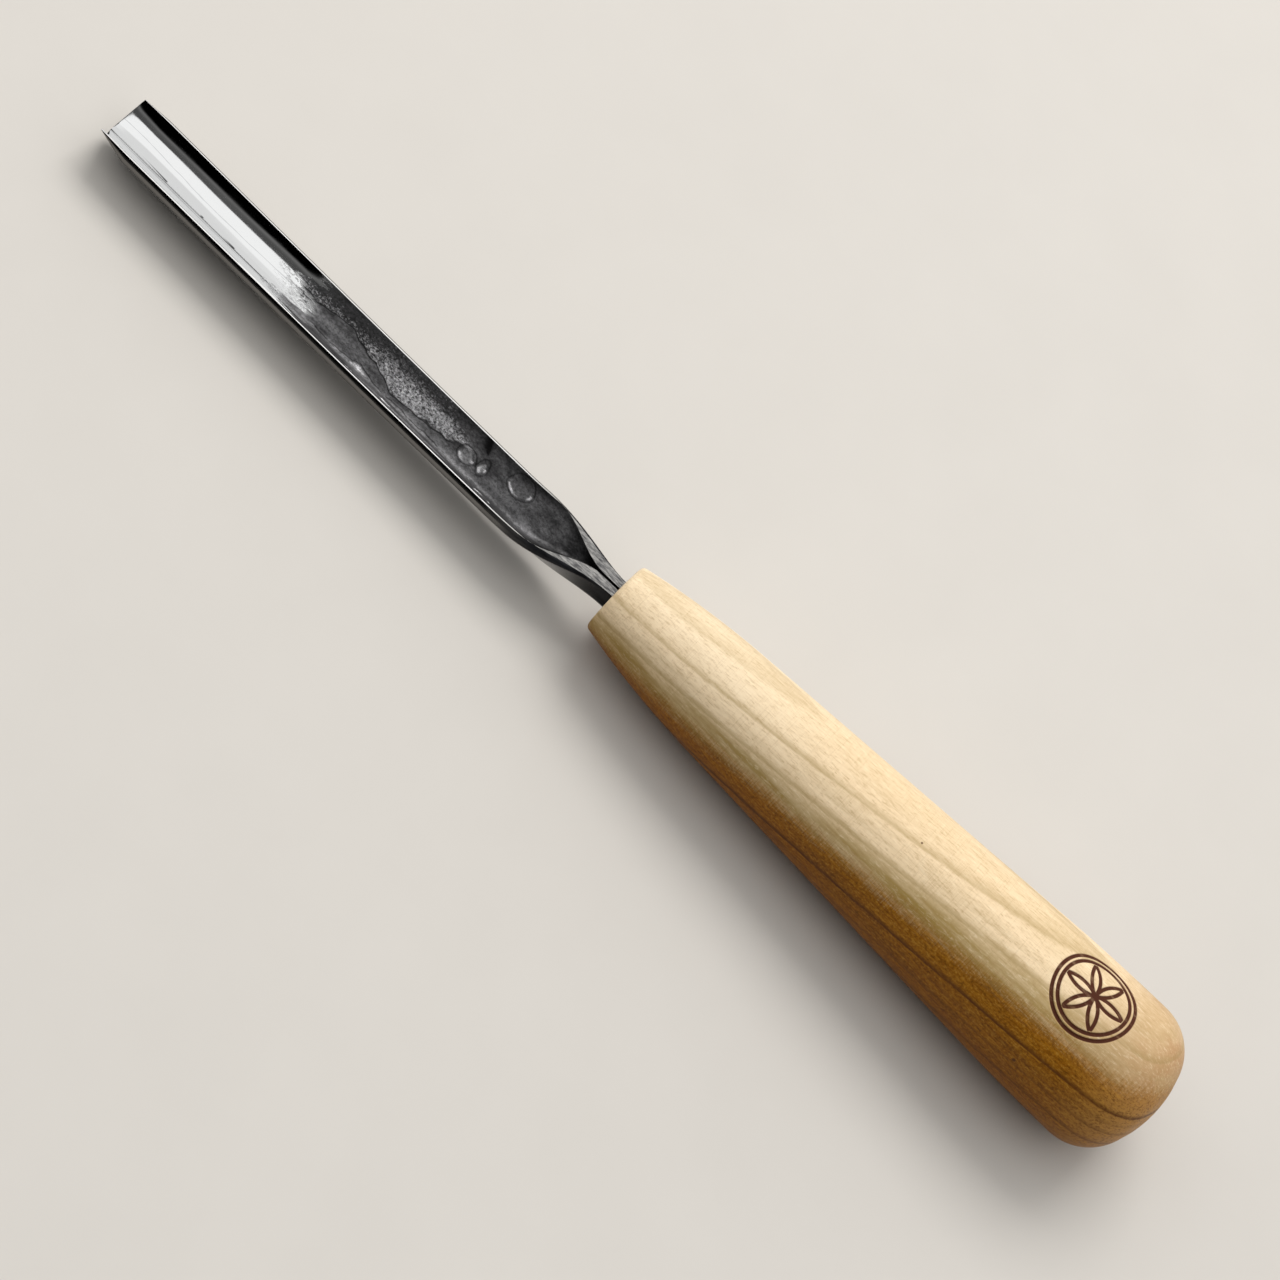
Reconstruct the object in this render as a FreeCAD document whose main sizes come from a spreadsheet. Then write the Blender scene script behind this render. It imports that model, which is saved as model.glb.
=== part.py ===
import FreeCAD, Part
import math
import os
import Sketcher
from FreeCAD import Placement, Rotation, Vector

# A V parting tool: a forged V blade whose tapered tang is bedded in the bore of a turned wooden handle.
# Millimetres. The origin is the centre of the handle's front face, +X points to the cutting edge,
# and +Z is the open side of the V. The tool is symmetric about the XZ plane.

DIMENSIONS = {
    # Lengths along X, from the handle's front face
    "blade_length": 121.0,
    "neck_length": 26.0,
    "bevel_length": 7.0,
    "tang_length": 66.0,
    # Half-width of the flat top of the section, out to where the shoulder begins
    "flat_tang": 1.0,
    "flat_face": 1.95,
    "flat_throat": 5.32,
    "flat_heel": 5.5,
    "flat_edge": 5.29,
    # Height of the section's top above the axis
    "top_tang": 1.2,
    "top_face": 2.7,
    "top_throat": 1.1,
    "top_heel": 2.42,
    "top_edge": 2.5,
    # Radius that rounds the top into the outer side
    "shoulder_tang": 0.1,
    "shoulder_face": 0.15,
    "shoulder_throat": 0.85,
    "shoulder_heel": 0.85,
    "shoulder_edge": 0.06,
    # Depth of the keel below the axis
    "keel_tang": 1.3,
    "keel_face": 3.7,
    "keel_throat": 7.9,
    "keel_heel": 6.58,
    "keel_edge": 4.17,
    # Radius of the keel
    "round_tang": 0.8,
    "round_face": 1.9,
    "round_throat": 1.0,
    "round_heel": 1.0,
    "round_edge": 0.8,
    # Half-width of the groove where it meets the top
    "groove_face": 0.47,
    "groove_throat": 5.05,
    "groove_heel": 5.22,
    # Height of the groove's own floor above the keel's lowest line
    "floor_face": 5.3,
    "floor_throat": 2.45,
    "floor_heel": 2.45,
    "floor_edge": 0.12,
    # Radius along the bottom of the groove
    "root_face": 0.3,
    "root_throat": 0.7,
    "root_heel": 0.7,
    "groove_overcut": 3.0,
    # Handle
    "handle_length": 129.0,
    "front_radius": 7.3,
    "rim_radius": 0.9,
    "swell_length": 26.0,
    "swell_radius": 10.5,
    "taper_end": 95.0,
    "taper_radius": 14.13,
    "widest_radius": 14.75,
    "dome_radius": 10.0,
    # Bore for the tang
    "bore_radius": 4.0,
    "bore_depth": 70.0,
    "drill_point": 2.4,
    "epoxy_recess": 0.4,
}

EDGE_LEAN_DEG = 9.0
NECK_STATIONS = 9
BLADE_STATIONS = 4
BLADE_RISE_POWER = 1.5

# Where along the neck each size changes, as fractions of its length from the handle's face to the full V
WIDTH_CHANGE = (0.0, 0.81)
TOP_CHANGE = (0.15, 1.0)
KEEL_CHANGE = (0.0, 0.65)
GROOVE_CHANGE = (0.21, 0.70)
FLOOR_CHANGE = (0.10, 0.85)

# Geometry and point numbers that the constraint solver uses
ROOT = (-1, 1)
HORIZONTAL_AXIS = -1
VERTICAL_AXIS = -2
START, END, CENTRE = 1, 2, 3


def make_sheet(doc):
    """The spreadsheet of driving dimensions."""
    sheet = doc.addObject("Spreadsheet::Sheet", "Dimensions")
    for row, (alias, value) in enumerate(DIMENSIONS.items(), start=1):
        sheet.set(f"A{row}", alias)
        sheet.set(f"B{row}", str(value))
        sheet.setAlias(f"B{row}", alias)
    doc.recompute()
    return sheet


def cell(name):
    return f"Dimensions.{name}"


def ease(fraction, change):
    """0 before the change, 1 after it, and a smooth S between."""
    first, last = change
    x = min(1.0, max(0.0, (fraction - first) / (last - first)))
    return x * x * (3.0 - 2.0 * x)


def blend(first, last, weight):
    """A size between two cells, as the pair (number, expression)."""
    number = DIMENSIONS[first] + (DIMENSIONS[last] - DIMENSIONS[first]) * weight
    return number, f"({cell(first)} + ({cell(last)} - {cell(first)}) * {weight:.5f})"


def single(name):
    """A size read straight from one cell."""
    return DIMENSIONS[name], cell(name)


def plus(*sizes):
    return sum(n for n, _ in sizes), " + ".join(e for _, e in sizes)


def minus(size, other):
    return size[0] - other[0], f"{size[1]} - ({other[1]})"


def origin_feature(body, role):
    return next(f for f in body.Origin.OriginFeatures if f.Role == role)


def new_body(doc, name):
    body = doc.addObject("PartDesign::Body", name)
    body.Label = name
    return body


def new_sketch(body, name, plane):
    sketch = body.newObject("Sketcher::SketchObject", name)
    sketch.AttachmentSupport = (origin_feature(body, plane), [""])
    sketch.MapMode = "FlatFace"
    return sketch


def dimension(sketch, kind, *arguments):
    """Add a driving constraint whose last argument is a (number, expression) size."""
    *references, size = arguments
    index = sketch.addConstraint(Sketcher.Constraint(kind, *references, size[0]))
    sketch.setExpression(f"Constraints[{index}]", size[1])


def side_angle(upper, upper_radius, lower, lower_radius):
    """Direction, from each centre, of the line that touches two circles on their +Y side."""
    gap = lower - upper
    return math.atan2(gap.y, gap.x) + math.acos((upper_radius - lower_radius) / gap.Length)


def polar(centre, radius, angle):
    return centre + Vector(radius * math.cos(angle), radius * math.sin(angle), 0)


def arc(centre, radius, first, last):
    circle = Part.Circle(centre, Vector(0, 0, 1), radius)
    return Part.ArcOfCircle(circle, first, last)


def mirrored(point):
    return Vector(-point.x, point.y, 0)


def place_section(sketch, station, lean_deg):
    """Put a section at its distance along X, with its top leaning back by lean_deg."""
    number, expression = station
    sketch.AttachmentOffset = Placement(Vector(0, 0, number), Rotation(Vector(1, 0, 0), -lean_deg))
    sketch.setExpression("AttachmentOffset.Base.z", expression)


def outer_section(body, name, station, sizes, lean_deg=0.0):
    """Outline of the solid blade: flat top, rounded shoulders, straight sides and a rounded keel."""
    flat, top, shoulder, keel, keel_round = sizes
    sketch = new_sketch(body, name, "YZ_Plane")
    place_section(sketch, station, lean_deg)
    right = Vector(flat[0], top[0] - shoulder[0], 0)
    bottom = Vector(0, keel_round[0] - keel[0], 0)
    side = side_angle(right, shoulder[0], bottom, keel_round[0])
    shoulder_touch = polar(right, shoulder[0], side)
    keel_touch = polar(bottom, keel_round[0], side)
    crest = Vector(flat[0], top[0], 0)
    opposite = math.pi - side
    sketch.addGeometry(
        [
            Part.LineSegment(mirrored(crest), crest),
            arc(right, shoulder[0], side, math.pi / 2),
            Part.LineSegment(shoulder_touch, keel_touch),
            arc(bottom, keel_round[0], opposite, side + 2 * math.pi),
            Part.LineSegment(mirrored(keel_touch), mirrored(shoulder_touch)),
            arc(mirrored(right), shoulder[0], math.pi / 2, opposite),
        ]
    )
    joints = [
        (0, END, 1, END),
        (1, START, 2, START),
        (2, END, 3, END),
        (3, START, 4, START),
        (4, END, 5, END),
        (5, START, 0, START),
    ]
    for joint in joints:
        sketch.addConstraint(Sketcher.Constraint("Tangent", *joint))
    sketch.addConstraint(Sketcher.Constraint("Symmetric", 1, CENTRE, 5, CENTRE, VERTICAL_AXIS))
    sketch.addConstraint(Sketcher.Constraint("Equal", 1, 5))
    sketch.addConstraint(Sketcher.Constraint("PointOnObject", 3, CENTRE, VERTICAL_AXIS))
    shoulder_height = minus(top, shoulder)
    dimension(sketch, "DistanceX", *ROOT, 1, CENTRE, flat)
    dimension(sketch, "DistanceY", *ROOT, 1, CENTRE, shoulder_height)
    dimension(sketch, "DistanceY", 3, CENTRE, 1, CENTRE, minus(plus(shoulder_height, keel), keel_round))
    dimension(sketch, "Radius", 1, shoulder)
    dimension(sketch, "Radius", 3, keel_round)
    return sketch


def groove_section(body, name, station, sizes, lean_deg=0.0):
    """Outline of the space inside the V: straight sides through the arris, and a rounded root."""
    half_width, top, floor_depth, root = sizes
    overcut = single("groove_overcut")
    sketch = new_sketch(body, name, "YZ_Plane")
    place_section(sketch, station, lean_deg)
    arris = Vector(half_width[0], top[0], 0)
    bottom = Vector(0, root[0] - floor_depth[0], 0)
    side = side_angle(arris, 0.0, bottom, root[0])
    touch = polar(bottom, root[0], side)
    corner = arris + (arris - touch) * (overcut[0] / (arris.y - touch.y))
    sketch.addGeometry(
        [
            Part.LineSegment(mirrored(corner), corner),
            Part.LineSegment(corner, touch),
            arc(bottom, root[0], math.pi - side, side + 2 * math.pi),
            Part.LineSegment(mirrored(touch), mirrored(corner)),
            Part.Point(arris),
        ]
    )
    sketch.addConstraint(Sketcher.Constraint("Coincident", 0, END, 1, START))
    sketch.addConstraint(Sketcher.Constraint("Coincident", 3, END, 0, START))
    sketch.addConstraint(Sketcher.Constraint("Tangent", 1, END, 2, END))
    sketch.addConstraint(Sketcher.Constraint("Tangent", 2, START, 3, START))
    sketch.addConstraint(Sketcher.Constraint("Symmetric", 0, START, 0, END, VERTICAL_AXIS))
    sketch.addConstraint(Sketcher.Constraint("PointOnObject", 2, CENTRE, VERTICAL_AXIS))
    sketch.addConstraint(Sketcher.Constraint("PointOnObject", 4, START, 1))
    dimension(sketch, "DistanceX", *ROOT, 4, START, half_width)
    dimension(sketch, "DistanceY", *ROOT, 4, START, top)
    dimension(sketch, "DistanceY", 4, START, 0, END, overcut)
    dimension(sketch, "DistanceY", 2, CENTRE, 4, START, minus(plus(top, floor_depth), root))
    dimension(sketch, "Radius", 2, root)
    return sketch


def outer_sizes(first, last, width, top, keel):
    """The outer section's five sizes between two named stations, each with its own weight."""
    return (
        blend(f"flat_{first}", f"flat_{last}", width),
        blend(f"top_{first}", f"top_{last}", top),
        blend(f"shoulder_{first}", f"shoulder_{last}", width),
        blend(f"keel_{first}", f"keel_{last}", keel),
        blend(f"round_{first}", f"round_{last}", keel),
    )


def neck_station(step):
    """Distance along X and fraction of the neck."""
    fraction = step / (NECK_STATIONS - 1)
    number = DIMENSIONS["neck_length"] * fraction
    return (number, f"{cell('neck_length')} * {fraction:.5f}"), fraction


def blade_station(step):
    """Distance along X, and the weight of the upward sweep, between the throat and the bevel's heel."""
    fraction = step / (BLADE_STATIONS - 1)
    heel = minus(single("blade_length"), single("bevel_length"))
    neck = single("neck_length")
    number = neck[0] + (heel[0] - neck[0]) * fraction
    expression = f"{neck[1]} + ({heel[1]} - {neck[1]}) * {fraction:.5f}"
    return (number, expression), fraction ** BLADE_RISE_POWER


def edge_station(depth_cell, beyond):
    """Distance along X of the leaning plane of the edge, which reaches blade_length at its apex."""
    slope = math.tan(math.radians(EDGE_LEAN_DEG))
    number = DIMENSIONS["blade_length"] - DIMENSIONS[depth_cell] * slope + beyond
    return number, f"{cell('blade_length')} - {cell(depth_cell)} * {slope:.5f} + {beyond}"


def loft(body, kind, name, sections, ruled=False):
    feature = body.newObject(f"PartDesign::{kind}", name)
    feature.Profile = (sections[0], [""])
    feature.Sections = [(section, [""]) for section in sections[1:]]
    feature.Ruled = ruled
    body.Document.recompute()
    return feature


def make_blade(doc):
    """One forging: tapered tang, shank, neck, V blade and ground bevel, with the groove cut into it."""
    body = new_body(doc, "blade")
    tang_place = (-DIMENSIONS["tang_length"], f"-{cell('tang_length')}")
    tang_end = outer_section(body, "TangEnd", tang_place, outer_sizes("tang", "tang", 0, 0, 0))

    neck = []
    for step in range(NECK_STATIONS):
        place, fraction = neck_station(step)
        weights = [ease(fraction, change) for change in (WIDTH_CHANGE, TOP_CHANGE, KEEL_CHANGE)]
        sizes = outer_sizes("face", "throat", *weights)
        neck.append(outer_section(body, f"Neck{step}", place, sizes))
    loft(body, "AdditiveLoft", "Tang", [neck[0], tang_end], ruled=True)
    loft(body, "AdditiveLoft", "Neck", neck)

    blade = [neck[-1]]
    for step in range(1, BLADE_STATIONS):
        place, weight = blade_station(step)
        sizes = outer_sizes("throat", "heel", weight, weight, weight)
        blade.append(outer_section(body, f"Blade{step}", place, sizes))
    loft(body, "AdditiveLoft", "Vee", blade)

    edge_sizes = outer_sizes("edge", "edge", 0, 0, 0)
    edge = outer_section(body, "Edge", edge_station("keel_edge", 0.0), edge_sizes, EDGE_LEAN_DEG)
    loft(body, "AdditiveLoft", "Bevel", [blade[-1], edge], ruled=True)
    cut_groove(body)
    return body


def floor_depth(keel, floor):
    """Depth of the groove's floor below the axis, from the keel's depth and the metal left under it."""
    return minus(keel, floor)


def cut_groove(body):
    """Cut the V groove, which closes to a narrow slot where the neck meets the handle."""
    solid = body.Shape.Volume
    neck = []
    for step in range(NECK_STATIONS):
        place, fraction = neck_station(step)
        opening = ease(fraction, GROOVE_CHANGE)
        floor_weight = ease(fraction, FLOOR_CHANGE)
        top = blend("top_face", "top_throat", ease(fraction, TOP_CHANGE))
        shallow = floor_depth(single("keel_face"), single("floor_face"))
        deep = floor_depth(single("keel_throat"), single("floor_throat"))
        depth = (
            shallow[0] + (deep[0] - shallow[0]) * floor_weight,
            f"({shallow[1]}) + (({deep[1]}) - ({shallow[1]})) * {floor_weight:.5f}",
        )
        half_width = blend("groove_face", "groove_throat", opening)
        root = blend("root_face", "root_throat", opening)
        neck.append(groove_section(body, f"GrooveNeck{step}", place, (half_width, top, depth, root)))

    blade = [neck[-1]]
    for step in range(1, BLADE_STATIONS):
        place, weight = blade_station(step)
        keel = blend("keel_throat", "keel_heel", weight)
        depth = floor_depth(keel, blend("floor_throat", "floor_heel", weight))
        half_width = blend("groove_throat", "groove_heel", weight)
        top = blend("top_throat", "top_heel", weight)
        root = blend("root_throat", "root_heel", weight)
        blade.append(groove_section(body, f"GrooveBlade{step}", place, (half_width, top, depth, root)))

    half_width = single("groove_heel")
    top = single("top_edge")
    depth = floor_depth(single("keel_edge"), single("floor_edge"))
    root = single("root_heel")
    beyond = edge_station("keel_edge", 2.0)
    mouth = groove_section(body, "GrooveMouth", beyond, (half_width, top, depth, root), EDGE_LEAN_DEG)

    loft(body, "SubtractiveLoft", "GrooveNeck", neck)
    loft(body, "SubtractiveLoft", "GrooveVee", blade)
    loft(body, "SubtractiveLoft", "GrooveMouthCut", [blade[-1], mouth], ruled=True)
    assert body.Shape.Volume < 0.7 * solid, "the groove removed too little metal"


def handle_profile(body):
    """Half of the handle's outline: front face, rim, swell, long taper, shoulder, dome and crown."""
    size = DIMENSIONS
    rim_centre = Vector(-size["rim_radius"], size["front_radius"] - size["rim_radius"], 0)
    swell_end = Vector(-size["swell_length"], size["swell_radius"], 0)
    taper_end = Vector(-size["taper_end"], size["taper_radius"], 0)
    slope = math.atan2(taper_end.y - swell_end.y, swell_end.x - taper_end.x)
    outward = Vector(math.sin(slope), math.cos(slope), 0)

    # The swell touches the rim from inside and leaves along the taper
    span = swell_end - rim_centre
    swell_round = (span.Length**2 - size["rim_radius"] ** 2) / (2 * (span.dot(outward) - size["rim_radius"]))
    swell_centre = swell_end - outward * swell_round
    rim_angle = math.atan2(rim_centre.y - swell_centre.y, rim_centre.x - swell_centre.x)

    # The shoulder leaves the taper and runs parallel to the axis at the widest place
    shoulder_round = (size["widest_radius"] - taper_end.y) / (1 - math.cos(slope))
    shoulder_centre = taper_end - outward * shoulder_round

    # The crown is centred on the axis and touches the dome from outside
    dome = size["dome_radius"]
    dome_centre = Vector(shoulder_centre.x, size["widest_radius"] - dome, 0)
    reach = size["handle_length"] + dome_centre.x
    crown_round = (reach**2 + dome_centre.y**2 - dome**2) / (2 * (reach - dome))
    crown_centre = Vector(crown_round - size["handle_length"], 0, 0)
    crown_angle = math.atan2(dome_centre.y, dome_centre.x - crown_centre.x)

    taper_angle = math.pi / 2 - slope
    pommel = Vector(-size["handle_length"], 0, 0)
    sketch = new_sketch(body, "HandleProfile", "XY_Plane")
    sketch.addGeometry(
        [
            Part.LineSegment(Vector(0, 0, 0), Vector(0, rim_centre.y, 0)),
            arc(rim_centre, size["rim_radius"], 0, rim_angle),
            arc(swell_centre, swell_round, rim_angle, taper_angle),
            Part.LineSegment(swell_end, taper_end),
            arc(shoulder_centre, shoulder_round, taper_angle, math.pi / 2),
            arc(dome_centre, dome, math.pi / 2, crown_angle),
            arc(crown_centre, crown_round, crown_angle, math.pi),
            Part.LineSegment(pommel, Vector(0, 0, 0)),
        ]
    )
    sketch.addConstraint(Sketcher.Constraint("Coincident", 0, START, *ROOT))
    sketch.addConstraint(Sketcher.Constraint("Vertical", 0))
    for before in range(6):
        sketch.addConstraint(Sketcher.Constraint("Tangent", before, END, before + 1, START))
    sketch.addConstraint(Sketcher.Constraint("Coincident", 6, END, 7, START))
    sketch.addConstraint(Sketcher.Constraint("Coincident", 7, END, 0, START))
    sketch.addConstraint(Sketcher.Constraint("PointOnObject", 6, END, HORIZONTAL_AXIS))
    sketch.addConstraint(Sketcher.Constraint("PointOnObject", 6, CENTRE, HORIZONTAL_AXIS))
    sketch.addConstraint(Sketcher.Constraint("Vertical", 5, START, 5, CENTRE))
    rim = single("rim_radius")
    dimension(sketch, "Radius", 1, rim)
    dimension(sketch, "DistanceY", *ROOT, 0, END, minus(single("front_radius"), rim))
    dimension(sketch, "DistanceX", 3, START, *ROOT, single("swell_length"))
    dimension(sketch, "DistanceY", *ROOT, 3, START, single("swell_radius"))
    dimension(sketch, "DistanceX", 3, END, *ROOT, single("taper_end"))
    dimension(sketch, "DistanceY", *ROOT, 3, END, single("taper_radius"))
    dimension(sketch, "DistanceY", *ROOT, 5, START, single("widest_radius"))
    dimension(sketch, "Radius", 5, single("dome_radius"))
    dimension(sketch, "DistanceX", 6, END, *ROOT, single("handle_length"))
    return sketch


def bore_profile(body):
    """Half of the drilled bore: a cylinder that ends in the drill's cone."""
    radius = DIMENSIONS["bore_radius"]
    depth = DIMENSIONS["bore_depth"]
    tip = depth + DIMENSIONS["drill_point"]
    corners = [Vector(0, 0, 0), Vector(0, radius, 0), Vector(-depth, radius, 0), Vector(-tip, 0, 0)]
    sketch = new_sketch(body, "BoreProfile", "XY_Plane")
    sketch.addGeometry([Part.LineSegment(corners[k - 1], corners[k]) for k in range(4)])
    for before in range(4):
        sketch.addConstraint(Sketcher.Constraint("Coincident", before, END, (before + 1) % 4, START))
    sketch.addConstraint(Sketcher.Constraint("Coincident", 0, END, *ROOT))
    sketch.addConstraint(Sketcher.Constraint("Horizontal", 0))
    sketch.addConstraint(Sketcher.Constraint("Vertical", 1))
    sketch.addConstraint(Sketcher.Constraint("Horizontal", 2))
    dimension(sketch, "DistanceY", *ROOT, 1, END, single("bore_radius"))
    dimension(sketch, "DistanceX", 2, END, *ROOT, single("bore_depth"))
    dimension(sketch, "DistanceX", 3, END, *ROOT, plus(single("bore_depth"), single("drill_point")))
    return sketch


def turn(body, kind, name, profile):
    """Revolve or groove a profile by a full turn about the X axis."""
    feature = body.newObject(f"PartDesign::{kind}", name)
    feature.Profile = profile
    feature.ReferenceAxis = (profile, ["H_Axis"])
    feature.Angle = 360.0
    body.Document.recompute()
    return feature


def make_handle(doc):
    """One turned piece of wood, drilled from the front for the tang."""
    body = new_body(doc, "handle")
    turn(body, "Revolution", "Turning", handle_profile(body))
    solid = body.Shape.Volume
    turn(body, "Groove", "Bore", bore_profile(body))
    bore = math.pi * DIMENSIONS["bore_radius"] ** 2 * DIMENSIONS["bore_depth"]
    assert body.Shape.Volume < solid - 0.99 * bore, "the bore was not cut"
    return body


def make_epoxy(doc, blade):
    """Resin that fills the bore round the tang, stopping just short of the handle's face."""
    along_x = Rotation(Vector(0, 1, 0), 90)
    plug = doc.addObject("Part::Cylinder", "EpoxyPlug")
    plug.setExpression("Radius", cell("bore_radius"))
    plug.setExpression("Height", f"{cell('bore_depth')} - {cell('epoxy_recess')}")
    plug.Placement = Placement(Vector(-DIMENSIONS["bore_depth"], 0, 0), along_x)
    plug.setExpression("Placement.Base.x", f"-{cell('bore_depth')}")

    point = doc.addObject("Part::Cone", "EpoxyPoint")
    point.Radius1 = 0.0
    point.setExpression("Radius2", cell("bore_radius"))
    point.setExpression("Height", cell("drill_point"))
    tip = DIMENSIONS["bore_depth"] + DIMENSIONS["drill_point"]
    point.Placement = Placement(Vector(-tip, 0, 0), along_x)
    point.setExpression("Placement.Base.x", f"-({cell('bore_depth')} + {cell('drill_point')})")

    filling = doc.addObject("Part::Fuse", "EpoxyFilling")
    filling.Base = plug
    filling.Tool = point
    filling.Refine = True
    epoxy = doc.addObject("Part::Cut", "TangEpoxy")
    epoxy.Label = "tang_epoxy"
    epoxy.Base = filling
    epoxy.Tool = blade
    doc.recompute()
    return epoxy


def check(doc, parts):
    """Stop if anything in the document failed, or if a piece isn't one valid solid."""
    failed = [item.Name for item in doc.Objects if {"Invalid", "Error"} & set(item.State)]
    if failed:
        raise RuntimeError(f"failed objects: {failed}")
    for part in parts:
        shape = part.Shape
        if shape.isNull() or not shape.isValid() or len(shape.Solids) != 1:
            raise RuntimeError(f"{part.Label} is not one valid solid")


def main():
    doc = FreeCAD.newDocument("VPartingTool")
    make_sheet(doc)
    blade = make_blade(doc)
    handle = make_handle(doc)
    epoxy = make_epoxy(doc, blade)
    parts = [blade, handle, epoxy]
    doc.recompute()
    check(doc, parts)
    os.makedirs("parts", exist_ok=True)
    for part in parts:
        part.Shape.exportStep(f"parts/{part.Label}.step")


main()
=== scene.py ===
import math

import bmesh
import bpy
import numpy as np
from mathutils import Matrix, Vector, noise


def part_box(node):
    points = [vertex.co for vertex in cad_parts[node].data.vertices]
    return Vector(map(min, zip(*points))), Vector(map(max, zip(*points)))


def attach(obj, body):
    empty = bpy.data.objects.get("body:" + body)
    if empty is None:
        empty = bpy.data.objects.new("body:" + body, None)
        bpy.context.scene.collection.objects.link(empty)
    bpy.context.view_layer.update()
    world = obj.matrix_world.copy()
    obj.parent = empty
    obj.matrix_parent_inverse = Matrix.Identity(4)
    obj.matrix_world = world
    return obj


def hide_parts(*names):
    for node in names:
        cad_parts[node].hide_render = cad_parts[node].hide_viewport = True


# Sizes are millimetres unless a comment says otherwise. +X points to the cutting edge, +Z is the open side of
# the V, and the origin is the centre of the handle's front face.
MM = 0.001

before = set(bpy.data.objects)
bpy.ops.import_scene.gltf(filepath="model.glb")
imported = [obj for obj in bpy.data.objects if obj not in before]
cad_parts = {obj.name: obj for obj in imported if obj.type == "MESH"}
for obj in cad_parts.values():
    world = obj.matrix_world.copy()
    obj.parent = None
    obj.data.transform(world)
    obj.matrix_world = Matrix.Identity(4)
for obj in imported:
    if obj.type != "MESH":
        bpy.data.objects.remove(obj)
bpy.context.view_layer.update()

BLADE_LOW, _ = [np.array(corner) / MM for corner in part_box("blade")]
HANDLE_LOW, HANDLE_HIGH = [np.array(corner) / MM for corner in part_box("handle")]

# ---------------- shared helpers


def ease(value, first, last):
    """0 before first, 1 after last, and a smooth S between."""
    x = np.clip((value - first) / (last - first), 0.0, 1.0)
    return x * x * (3.0 - 2.0 * x)


def mix(first, last, weight):
    return first + (last - first) * weight


def noise_at(points, scale, seed=0.0):
    """Smooth noise from -1 to 1 at each point; scale is (x, y, z) features per millimetre."""
    stretched = np.asarray(points) * np.asarray(scale) + seed
    return np.array([noise.noise(Vector(p)) for p in stretched])


def grid_mesh(name, grid, materials, face_slot=None):
    """A tube from a (stations, ring, 3) grid of points in millimetres. face_slot is the material slot of each
    column of faces."""
    stations, ring, _ = grid.shape
    verts = (grid.reshape(-1, 3) * MM).tolist()
    faces = []
    slots = []
    for i in range(stations - 1):
        for j in range(ring):
            k = (j + 1) % ring
            faces.append((i * ring + j, (i + 1) * ring + j, (i + 1) * ring + k, i * ring + k))
            slots.append(face_slot[j] if face_slot is not None else 0)
    mesh = bpy.data.meshes.new(name)
    mesh.from_pydata(verts, [], faces)
    piece = bpy.data.objects.new(name, mesh)
    bpy.context.scene.collection.objects.link(piece)
    for material in materials:
        mesh.materials.append(material)
    mesh.polygons.foreach_set("material_index", slots)
    return piece


# ---------------- blade

NECK_LENGTH = 26.0
BEVEL_LENGTH = 7.0
BLADE_LENGTH = 121.0
HEEL = BLADE_LENGTH - BEVEL_LENGTH
TANG_LENGTH = -BLADE_LOW[0]
RISE_POWER = 1.5

# The cutting edge leans back from the keel to the wings, and is skewed, so that one wing leads the other
EDGE_LEAN = math.tan(math.radians(9.0))
EDGE_SKEW = 0.074

# Just behind the cutting edge, the groove's walls close in very slightly
INNER_BEVEL = 1.6
EDGE_ROLL = 0.06

# Section sizes at each named station: tang end, handle face, throat, heel of the bevel, cutting edge
FLAT = dict(tang=1.0, face=1.95, throat=5.32, heel=5.5, edge=5.29)
TOP = dict(tang=1.2, face=2.7, throat=1.1, heel=2.42, edge=2.5)
SHOULDER = dict(tang=0.1, face=0.15, throat=1.5, heel=1.5, edge=0.08)
KEEL = dict(tang=1.3, face=3.7, throat=7.9, heel=6.58, edge=4.17)
KEEL_ROUND = dict(tang=0.8, face=1.9, throat=1.0, heel=1.0, edge=0.8)
GROOVE = dict(face=0.28, throat=5.12, heel=5.34, edge=5.25)
FLOOR = dict(face=-1.6, throat=5.45, heel=4.13, edge=4.05)
ROOT = dict(face=0.3, throat=0.7, heel=0.7, edge=0.7)

# Where along the neck each size changes, as fractions of the neck's length
WIDTH_CHANGE = (0.0, 0.81)
TOP_CHANGE = (0.15, 1.0)
KEEL_CHANGE = (0.0, 0.65)
GROOVE_CHANGE = (0.16, 0.70)
FLOOR_CHANGE = (0.10, 0.85)

# Where the forged relief gives way to polish, and where and by what share grinding tightens the groove's root
POLISH_CHANGE = (72.0, 79.0)
ROOT_CHANGE = (70.0, 78.0)
ROOT_GRIND = 0.57

# Beyond this the sections stand further apart
SCALE_END = 80.0

# The shoulder's round stops short of the flat land on top by this angle, which leaves a crisp corner
CORNER_DEG = 30.0
CORNER_CHANGE = (4.0, 20.0)

# Inside the handle the groove is only a closed seam, this share of its width at the handle's face
SEAM_SHARE = 0.3

# Points round the section: on the outside, and in the groove
KEEL_STEPS, SIDE_STEPS, SHOULDER_STEPS, FLAT_STEPS = 6, 14, 7, 2
ROOT_STEPS, WALL_STEPS = 5, 40
OUTER_COUNT = 2 * (KEEL_STEPS + SIDE_STEPS + SHOULDER_STEPS + FLAT_STEPS + 1) - 1

# The blade's material slots
OUTSIDE, LAND, INSIDE = 0, 1, 2

# The direction in which the relief of the groove's walls stands out: (towards the axis, up)
WALL_NORMAL = (0.80, 0.60)


def size_at(x, size, change):
    """One section size along the whole blade."""
    neck = ease(x / NECK_LENGTH, *change)
    rise = np.clip((x - NECK_LENGTH) / (HEEL - NECK_LENGTH), 0.0, 1.0) ** RISE_POWER
    bevel = np.clip((x - HEEL) / BEVEL_LENGTH, 0.0, 1.0)
    value = mix(mix(mix(size["face"], size["throat"], neck), size["heel"], rise), size["edge"], bevel)
    if "tang" in size:
        value = mix(value, size["tang"], np.clip(-x / TANG_LENGTH, 0.0, 1.0))
    return value


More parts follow.
